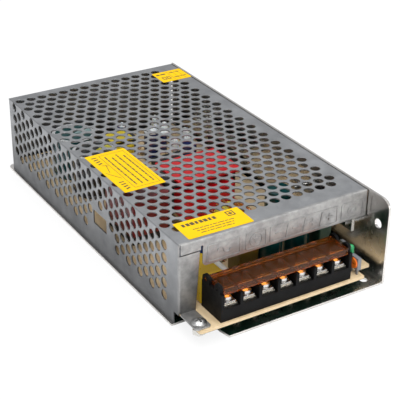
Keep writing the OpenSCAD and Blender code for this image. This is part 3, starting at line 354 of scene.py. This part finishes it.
# %% Tape and sleeves
def tape(name, colour, step=900):
    finish = Finish(name, colour, 0.3, 0.0, Coat_Weight=0.25, Coat_Roughness=0.15)
    finish.soft_edges(0.3 * MM)
    wraps = finish.layers(step, 1.5)
    wrinkles = finish.noise(130, 4, 0.55)
    finish.colour(finish.mix(wrinkles, tint(colour, 0.72), tint(colour, 1.2)))
    finish.bump(wraps, 0.02 * MM, 0.5)
    finish.bump(wrinkles, 0.25 * MM, 0.4)
    return finish


STRIPE_HALF_ANGLE = 0.45
BARE_TOP = (0.55, 0.56, 0.57)


def sleeve(name, colour, stripe, centre):
    """A shrunk film round a capacitor: a stripe on its +X side, bare metal on its top."""
    finish = Finish(name, colour, 0.22, 0.0, Coat_Weight=0.4, Coat_Roughness=0.1)
    x = finish.maths("SUBTRACT", finish.axis("X"), centre[0])
    y = finish.maths("SUBTRACT", finish.axis("Y"), centre[1])
    angle = finish.maths("ARCTAN2", y, x)
    inside = finish.maths("LESS_THAN", finish.maths("ABSOLUTE", angle), STRIPE_HALF_ANGLE)
    top = finish.maths("GREATER_THAN", finish.axis("Z"), centre[2])
    side = finish.mix(inside, colour, stripe)
    finish.colour(finish.mix(top, side, BARE_TOP))
    finish.bump(finish.noise(300, 2), 0.02 * MM, 0.4)
    return finish


def top_of(node, below=0.35):
    """The centre of a node's top, a little below its highest face."""
    low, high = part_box(node)
    middle = (low + high) / 2
    return (middle.x, middle.y, high.z - below * MM)


dress(tape("red_tape", (0.72, 0.006, 0.012)), "main_transformer_winding")
dress(tape("dark_red_tape", (0.20, 0.009, 0.012)), "line_choke_winding")
dress(tape("yellow_tape", (0.72, 0.56, 0.02)), "driver_transformer_winding")
dress(tape("brown_tape", (0.17, 0.12, 0.015)), "taped_choke")
dress(sleeve("teal_sleeve", (0.004, 0.060, 0.062), (0.25, 0.36, 0.36),
             top_of("bulk_capacitor_1")), "bulk_capacitor_1", "output_capacitors")
dress(sleeve("black_sleeve", (0.012, 0.014, 0.014), (0.5, 0.46, 0.05),
             top_of("bulk_capacitor_2")), "bulk_capacitor_2")
dress(sleeve("navy_sleeve", (0.012, 0.02, 0.10), (0.5, 0.5, 0.5),
             top_of("small_capacitors")), "small_capacitors")

# %% [markdown]
# ## Plated parts and copper
# Terminal screws and clamps are bright nickel with worn, slightly uneven plating, and the
# winding is enamelled copper. All are metal shaders that differ in colour and gloss, so
# one function makes them: a wear noise in the colour, another in the gloss.


# %% Plated metal and copper
def plated(name, colour, rough, worn=0.12):
    finish = Finish(name, colour, rough, 1.0)
    finish.soft_edges(0.12 * MM)
    wear = finish.noise(700, 4, 0.6)
    finish.colour(finish.mix(wear, tint(colour, 1 - 2 * worn), tint(colour, 1 + worn)))
    finish.roughness(finish.spread(finish.noise(500, 3), rough * 0.6, rough * 1.7))
    finish.bump(finish.noise(1800, 2), 0.01 * MM, 0.4)
    return finish


TERMINALS = range(1, 8)
dress(plated("nickel_screw", (0.60, 0.60, 0.59), 0.24),
      "board_screws", "cover_screws", "bar_screws",
      *["terminal_screw_%d" % i for i in TERMINALS])
dress(plated("zinc_screw", (0.42, 0.42, 0.415), 0.34), "foot_screw")
dress(plated("clamp_plate", (0.62, 0.61, 0.59), 0.26), "lamp_leads",
      *["terminal_clamp_%d" % i for i in TERMINALS])
dress(plated("plated_steel", (0.62, 0.61, 0.58), 0.3),
      "board_standoffs", "foot_nut", "clamp_bars")
dress(plated("tinned_brass", (0.72, 0.69, 0.60), 0.28), "terminal_contacts", "fuse_clips")
dress(plated("silver_case", (0.60, 0.61, 0.64), 0.3), "series_diode")
dress(plated("copper_wire", (0.86, 0.33, 0.11), 0.22, 0.15), "toroid_winding")

# %% [markdown]
# ## Clear and tinted parts
# The terminal cover is clear amber plastic: light passes it and picks up orange. A
# see-through mix would lose its bright edges, so it is a transmissive shader with a
# tinted body. The lamp is a cloudy green lens, and the film is almost nothing but gloss.

# %% Clear and tinted parts
amber = Finish("amber_plastic", (0.80, 0.26, 0.04), 0.08, 0.0, Transmission_Weight=0.97,
               IOR=1.3, Specular_IOR_Level=0.25)
amber.soft_edges(0.2 * MM)
flow = amber.noise(70, 3, 0.6, amber.stretched((0.35, 1, 1)))
amber.colour(amber.mix(flow, (0.66, 0.18, 0.022), (0.84, 0.32, 0.06)))
amber.roughness(amber.spread(amber.noise(220, 3), 0.05, 0.14))
amber.bump(amber.noise(260, 2), 0.04 * MM, 0.4)
dress(amber, "terminal_cover")

lens = Finish("green_lens", (0.012, 0.40, 0.12), 0.18, 0.0, Transmission_Weight=0.35, IOR=1.5)
lens.colour(lens.mix(lens.noise(300, 2), (0.008, 0.30, 0.09), (0.03, 0.50, 0.17)))
dress(lens, "power_lamp")

film = Finish("clear_film", (0.95, 0.97, 0.98), 0.08, 0.0, Transmission_Weight=1.0, IOR=1.05)
film.set(film.shader, "Alpha", 0.22)
film.bump(film.noise(60, 2), 0.2 * MM, 0.3)
dress(film, "insulating_film")

# %% [markdown]
# ## Stickers
# Three yellow stickers lie on the roof. Their print is plain: frames, ruled lines and a
# bent line between two blocks, with nothing to read. The paper is a material, slightly
# cloudy and wavy, and the ink is another, with a fine speckle where it is thin.

# %% Sticker paper
paper = Finish("label_paper", (0.70, 0.42, 0.001), 0.6, 0.0, Specular_IOR_Level=0.12)
paper.colour(paper.mix(paper.noise(120, 3), (0.68, 0.40, 0.001), (0.78, 0.49, 0.002)))
paper.bump(paper.noise(200, 2), 0.03 * MM, 0.3)
dress(paper, "label_side", "label_front", "label_rear")
ink = Finish("label_ink", (0.03, 0.024, 0.01), 0.5)
ink.colour(ink.mix(ink.noise(2500, 2), (0.015, 0.012, 0.006), (0.10, 0.075, 0.012)))


# %% [markdown]
# ## Modelling helpers
# New pieces start from a primitive and are shaped in edit mode. An operator works on
# whatever is selected, so everything is deselected first. A finished piece has its place
# in its mesh, like the CAD nodes, and rides on a body.


# %% Define the modelling helpers
def clear_selection():
    """Leaves edit mode and deselects everything."""
    if bpy.context.object and bpy.context.object.mode != "OBJECT":
        bpy.ops.object.mode_set(mode="OBJECT")
    bpy.ops.object.select_all(action="DESELECT")


def apply_place(piece):
    """Moves a piece's place, turn and scale into its mesh."""
    clear_selection()
    piece.select_set(True)
    bpy.context.view_layer.objects.active = piece
    bpy.ops.object.transform_apply(location=True, rotation=True, scale=True)


def apply_modifiers(piece):
    bpy.context.view_layer.objects.active = piece
    for modifier in list(piece.modifiers):
        bpy.ops.object.modifier_apply(modifier=modifier.name)


def joined(pieces, name):
    """Makes several pieces one mesh, under one name."""
    clear_selection()
    for piece in pieces:
        piece.select_set(True)
    bpy.context.view_layer.objects.active = pieces[0]
    if len(pieces) > 1:
        bpy.ops.object.join()
    pieces[0].name = name
    pieces[0].data.name = name
    return pieces[0]


def finished(piece, finish, body="case"):
    """Gives a new piece its finish and slot, and lets it ride on a body."""
    piece.data.materials.clear()
    piece.data.materials.append(finish.material)
    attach(piece, body)
    print("piece", piece.name, "faces", len(piece.data.polygons))


def thickened(piece, height):
    """Gives a flat piece, open in edit mode, its height in mm, with faces outwards."""
    bpy.ops.mesh.select_all(action="SELECT")
    bpy.ops.mesh.extrude_region_move(TRANSFORM_OT_translate={"value": (0, 0, height * MM)})
    bpy.ops.mesh.select_all(action="SELECT")
    bpy.ops.mesh.normals_make_consistent(inside=False)
    bpy.ops.object.mode_set(mode="OBJECT")
    return piece


def raised_bar(x, y, z, length, width, height, angle=0.0):
    """A thin raised line, centred at (x, y), its underside at z; lengths in mm."""
    clear_selection()
    bpy.ops.mesh.primitive_plane_add(size=1, location=(x * MM, y * MM, z * MM),
                                     rotation=(0, 0, math.radians(angle)))
    piece = bpy.context.object
    piece.scale = (length * MM, width * MM, 1)
    apply_place(piece)
    bpy.ops.object.mode_set(mode="EDIT")
    return thickened(piece, height)


def raised_frame(x0, y0, x1, y1, z, width, height):
    """A thin raised rectangle line between two corners; lengths in mm."""
    clear_selection()
    middle = ((x0 + x1) / 2 * MM, (y0 + y1) / 2 * MM, z * MM)
    bpy.ops.mesh.primitive_plane_add(size=1, location=middle)
    piece = bpy.context.object
    piece.scale = ((x1 - x0) * MM, (y1 - y0) * MM, 1)
    apply_place(piece)
    bpy.ops.object.mode_set(mode="EDIT")
    bpy.ops.mesh.select_all(action="SELECT")
    bpy.ops.mesh.inset(thickness=width * MM)
    bpy.ops.mesh.delete(type="FACE")
    return thickened(piece, height)


def turned_about(piece, x, y, angle):
    """Turns a piece about the vertical line through (x, y), given in mm and degrees."""
    pivot = Matrix.Translation((x * MM, y * MM, 0))
    turn = Matrix.Rotation(math.radians(angle), 4, "Z")
    piece.data.transform(pivot @ turn @ pivot.inverted())
    return piece


# %% [markdown]
# ## Print on the stickers
# Each sticker gets its own small layout of rules, worked out from the sticker's box. Short
# dashes of uneven length stand in for lines of small print.

# %% Define the rows of dashes
INK = 0.02             # how far the print stands up
SHORTEST_DASH = 0.9
DASH_STEP = 0.55       # each longer kind of dash gains this
DASH_KINDS = 5
DASH_GAP = 0.45
LEAST_ROOM = 0.8       # no dash starts closer than this to the row's end


def dashes(x0, x1, y, z, width, seed, along_y=False):
    """A row of short dashes from x0 to x1; their lengths follow a simple rule."""
    pieces = []
    x = x0
    step = seed
    while x < x1 - LEAST_ROOM:
        length = min(SHORTEST_DASH + DASH_STEP * (step * 7 % DASH_KINDS), x1 - x)
        middle = x + length / 2
        if along_y:
            pieces.append(raised_bar(y, middle, z, width, length, INK))
        else:
            pieces.append(raised_bar(middle, y, z, length, width, INK))
        x += length + DASH_GAP
        step += 1
    return pieces


def sticker_corners(node):
    """The sides and the top of a sticker, in mm."""
    low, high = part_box(node)
    return low.x / MM, low.y / MM, high.x / MM, high.y / MM, high.z / MM


# %% [markdown]
# The largest sticker has four ruled rows inside a frame, a block of slanting bars at each
# end and a bent line between them. Raised bars are used and not a painted pattern,
# because their edges stay sharp however close the camera comes.

# %% Print the side sticker
x0, y0, x1, y1, top = sticker_corners("label_side")
print_side = [raised_frame(x0 + 6.2, y0 + 2.2, x1 - 1.6, y1 - 2.2, top, 0.22, INK)]
ROW_PITCH, ROW_INSET = 2.9, 4.5
for row in range(4):
    row_start, row_end = y0 + ROW_INSET, y1 - ROW_INSET - 2 * (row % 2)
    row_x = x0 + 8.4 + row * ROW_PITCH
    print_side += dashes(row_start, row_end, row_x, top, 0.75, row, along_y=True)
BAR_PITCH = 2.2
for start, end in ((y0 + 2.5, y0 + 10.5), (y1 - 10.5, y1 - 2.5)):
    middle = (start + end) / 2
    print_side += [
        raised_bar(x0 + 3.4, middle + k * BAR_PITCH, top, 2.5, 0.85, INK, 12 - 9 * k)
        for k in (-1.5, -0.5, 0.5, 1.5)
    ]
print_side += [raised_bar(x0 + 3.3, y0 + 17, top, 0.3, 9, INK, 28),
               raised_bar(x0 + 4.2, y0 + 24.5, top, 0.3, 8, INK, -14),
               raised_bar(x0 + 4.4, y1 - 12.4, top, 0.3, 3, INK, 55)]
finished(joined(print_side, "print_side"), ink)

# %% [markdown]
# The front sticker has a row of eight blocks, a small frame with a lozenge in it, and
# three rows of dashes. It sits a little askew on the roof, so its print is laid out
# straight and then turned as one piece.

# %% Print the front sticker
x0, y0, x1, y1, top = sticker_corners("label_front")
cx, cy = (x0 + x1) / 2, (y0 + y1) / 2
BLOCK_PITCH, STICKER_TILT = 2.15, -1.3
print_front = [
    raised_bar(cx - 12.6 + k * BLOCK_PITCH, cy + 3.7, top,
               1.3 + 0.25 * (k % 3), 2.3, INK, 4 * (k % 3))
    for k in range(8)
]
print_front += [raised_frame(cx + 8.6, cy + 1.7, cx + 12.4, cy + 5.7, top, 0.55, INK),
                raised_bar(cx + 10.5, cy + 3.7, top, 1.5, 1.5, INK, 45)]
for row in range(3):
    reach = 10.5 - row
    print_front += dashes(cx - reach, cx + reach, cy - 0.8 - row * 1.9, top, 0.5, row + 2)
front_print = joined(print_front, "print_front")
finished(turned_about(front_print, cx, cy, STICKER_TILT), ink)

# %% [markdown]
# The rear sticker is a small grid: three thin upright rules make four columns, with short
# rows of dashes and two little frames in them.

# %% Print the rear sticker
x0, y0, x1, y1, top = sticker_corners("label_rear")
COLUMN = 3.1
print_rear = [raised_bar(x0 + 8.2 + k * COLUMN, (y0 + y1) / 2, top, 0.18, 11.4, INK)
              for k in range(3)]
print_rear += dashes(x0 + 1.2, x0 + 7.4, y1 - 3.2, top, 1.3, 1)
print_rear += [raised_frame(x0 + 2.2, y0 + 3, x0 + 4.4, y0 + 6.6, top, 0.5, INK),
               raised_frame(x0 + 5, y0 + 3, x0 + 7, y0 + 6.6, top, 0.5, INK)]
for y, seed in ((y1 - 3, 4), (y0 + 4, 2)):
    print_rear += dashes(x0 + 9, x1 - 1.2, y, top, 0.7, seed)
finished(joined(print_rear, "print_rear"), ink)

# %% [markdown]
# ## Marks on the board
# Behind the terminals the board has a few printed marks: short red and black strokes.
# They could be part of the laminate's pattern, but raised ink, a hair above it, is
# simpler to place and is made with the same bars as the stickers.

# %% Print the board
red_ink = Finish("red_ink", (0.36, 0.02, 0.015), 0.5)
red_ink.colour(red_ink.mix(red_ink.noise(1500, 2), (0.26, 0.012, 0.01), (0.48, 0.05, 0.03)))
board_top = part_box("main_board")[1].z / MM
red_strokes = [raised_bar(-8.2, -52.6, board_top, 8.5, 0.8, INK, -24),
               raised_bar(-9.6, -54.2, board_top, 1.1, 3.2, INK, 8)]
finished(joined(red_strokes, "board_red_marks"), red_ink)
black_strokes = [raised_bar(-9.4, -53.6, board_top + 0.01, 4.2, 0.9, INK, -38),
                 raised_bar(-9.9, -54.6, board_top + 0.01, 1.0, 2.2, INK, 20),
                 raised_bar(-6.2, -55.4, board_top, 0.9, 0.8, INK, 0)]
HATCH_PITCH, PIN_PITCH = 0.9, 2.54
black_strokes += [raised_bar(-14.5 + k * HATCH_PITCH, -55.6, board_top, 0.5, 2.8, INK, -30)
                  for k in range(-2, 3)]
black_strokes += [raised_bar(8 + k * PIN_PITCH, 36.6, board_top, 0.4, 1.2, INK)
                  for k in range(7)]
finished(joined(black_strokes, "board_black_marks"), ink)

# %% [markdown]
# ## Silicone beads
# Tall parts are fixed with dabs of white silicone. A dab is a soft blob with no flat
# sides. Sculpting each would take long, so each is an icosphere pulled to its size and
# roughened by a displacement, whose texture is fixed in space: no two come out alike.

# %% Lay the silicone
silicone = Finish("white_silicone", (0.93, 0.94, 0.93), 0.22, 0.0, Subsurface_Weight=0.15)
silicone.colour(silicone.mix(silicone.noise(150, 3), (0.88, 0.89, 0.88), (0.97, 0.97, 0.97)))
silicone.bump(silicone.noise(500, 2), 0.05 * MM, 0.5)
lumps = bpy.data.textures.new("silicone_lumps", "CLOUDS")
lumps.noise_scale = 3.2 * MM
LUMP_HEIGHT = 1.4 * MM


def bead(x, y, z, width, length, height):
    """One dab with its middle at (x, y, z); lengths in mm."""
    clear_selection()
    bpy.ops.mesh.primitive_ico_sphere_add(subdivisions=4, radius=1,
                                          location=(x * MM, y * MM, z * MM))
    piece = bpy.context.object
    piece.scale = (width * MM / 2, length * MM / 2, height * MM / 2)
    apply_place(piece)
    displace = piece.modifiers.new("lumps", "DISPLACE")
    displace.texture = lumps
    displace.texture_coords = "GLOBAL"
    displace.strength = LUMP_HEIGHT
    displace.mid_level = 0.5
    apply_modifiers(piece)
    bpy.ops.object.shade_smooth()
    return piece


beads = [bead(*b) for b in (
    (28.7, 65, 16, 5, 6, 10), (25.5, 60, 18, 6, 5, 3.5), (26.8, 50.5, 13, 4.5, 5, 9),
    (34.5, 50.5, 16, 4.5, 4, 3), (14.5, 53, 24, 5, 4.5, 2.5), (28.5, 74, 12, 5, 4, 9),
    (41, 62.5, 12, 4, 6, 8), (8, 74.5, 20, 5, 5, 2.5), (11, 81, 13, 4, 4, 11),
    (33.5, 84, 12, 4, 4, 9), (-15.8, 53, 17, 3.5, 7, 10), (2.4, 53, 14, 3.5, 6, 8),
)]
finished(joined(beads, "silicone_beads"), silicone)

# %% [markdown]
# ## A bowed wire
# A thin enamelled wire bows from behind the terminal block to the small silver part. A
# wire is a curve with a round section, made a mesh once its shape is right. The path
# starts with five points, and the last three share one place, so that it ends there.


# %% Bend the wire
def wire(name, points, diameter, finish):
    """A smooth round wire drawn by five points, in mm; it rides on the case."""
    clear_selection()
    bpy.ops.curve.primitive_nurbs_path_add()
    piece = bpy.context.object
    spline = piece.data.splines[0]
    for point, place in zip(spline.points, points):
        point.co = (*(v * MM for v in place), 1)
    spline.use_endpoint_u = True
    piece.data.bevel_depth = diameter / 2 * MM
    piece.data.bevel_resolution = 3
    piece.data.use_fill_caps = True
    bpy.ops.object.convert(target="MESH")
    piece = bpy.context.object
    piece.name = name
    piece.data.name = name
    apply_place(piece)
    bpy.ops.object.shade_smooth()
    finished(piece, finish)


enamel = plated("dark_wire", (0.12, 0.09, 0.06), 0.35)
diode_low, diode_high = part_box("series_diode")
block_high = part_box("terminal_block")[1]
arc_start = (block_high.x / MM - 1, block_high.y / MM + 1.5, block_high.z / MM - 5)
diode_y = (diode_low.y + diode_high.y) / 2
arc_end = (diode_low.x / MM + 0.4, diode_y / MM, diode_high.z / MM - 1.3)
x, y, z = ((a + b) / 2 for a, b in zip(arc_start, arc_end))
BOW, WIRE_THICK = 3, 0.45
wire("arc_wire", [arc_start, (x, y, z + BOW), arc_end, arc_end, arc_end],
     WIRE_THICK, enamel)

# %% [markdown]
# ## Studio
# A white floor and a white surround. The camera sees the floor mostly as plain white, and
# a small share of its real shading keeps a faint shadow under the case.

# %% Lay the floor
FLOOR_DROP = 0.05 * MM
PLAIN_SHARE = 0.86     # how much of the floor the camera sees as plain white
floor_finish = Finish("floor_white", (0.9, 0.9, 0.9), 0.7)
light_path = floor_finish.tree.nodes.new("ShaderNodeLightPath")
glow = floor_finish.tree.nodes.new("ShaderNodeEmission")
glow.inputs["Strength"].default_value = 1.0
blend = floor_finish.tree.nodes.new("ShaderNodeMixShader")
output = floor_finish.tree.nodes["Material Output"]
seen = floor_finish.maths("MULTIPLY", light_path.outputs["Is Camera Ray"], PLAIN_SHARE)
floor_finish.link(seen, blend, "Fac")
floor_finish.tree.links.new(floor_finish.shader.outputs[0], blend.inputs[1])
floor_finish.tree.links.new(glow.outputs[0], blend.inputs[2])
floor_finish.tree.links.new(blend.outputs[0], output.inputs["Surface"])
clear_selection()
bpy.ops.mesh.primitive_plane_add(size=6, location=(0, 0, -FLOOR_DROP))
floor = bpy.context.object
floor.name = "floor"
floor.data.materials.append(floor_finish.material)

# %% [markdown]
# Polished metal needs something to mirror. A single small lamp would show in it as a
# hard spot, so a few large soft ones stand around the case, all aimed at its middle, and
# the world adds an even, nearly neutral light.

# %% Set the lamps and the world
LAMP_TARGET = Vector((0, 0, 0.02))


def soft_lamp(name, place, size, power, colour=(1, 1, 1)):
    """A rectangular lamp at a place in metres, aimed at the case; power in watts."""
    data = bpy.data.lights.new(name, "AREA")
    data.shape = "RECTANGLE"
    data.size, data.size_y = size
    data.energy = power
    data.color = colour
    lamp = bpy.data.objects.new(name, data)
    bpy.context.scene.collection.objects.link(lamp)
    lamp.location = place
    aim = LAMP_TARGET - Vector(place)
    lamp.rotation_euler = aim.to_track_quat("-Z", "Y").to_euler()


soft_lamp("key", (-0.3, -0.55, 0.95), (0.7, 0.5), 6.0)
soft_lamp("top", (0.1, 0.1, 1.1), (0.9, 0.9), 10.0)
soft_lamp("front", (0.35, -1.0, 0.35), (0.8, 0.4), 3.0, (1.0, 0.98, 0.95))
world = bpy.data.worlds.new("studio")
bpy.context.scene.world = world
world.use_nodes = True
tree = world.node_tree
background = tree.nodes["Background"]
WORLD_COLOUR, WORLD_STRENGTH = (0.98, 0.98, 1.0, 1), 0.54
background.inputs["Color"].default_value = WORLD_COLOUR
background.inputs["Strength"].default_value = WORLD_STRENGTH
white = tree.nodes.new("ShaderNodeBackground")
white.inputs["Color"].default_value = (1, 1, 1, 1)
path = tree.nodes.new("ShaderNodeLightPath")
chooser = tree.nodes.new("ShaderNodeMixShader")
tree.links.new(path.outputs["Is Camera Ray"], chooser.inputs["Fac"])
tree.links.new(background.outputs[0], chooser.inputs[1])
tree.links.new(white.outputs[0], chooser.inputs[2])
tree.links.new(chooser.outputs[0], tree.nodes["World Output"].inputs["Surface"])
bpy.context.scene.view_settings.view_transform = "Standard"
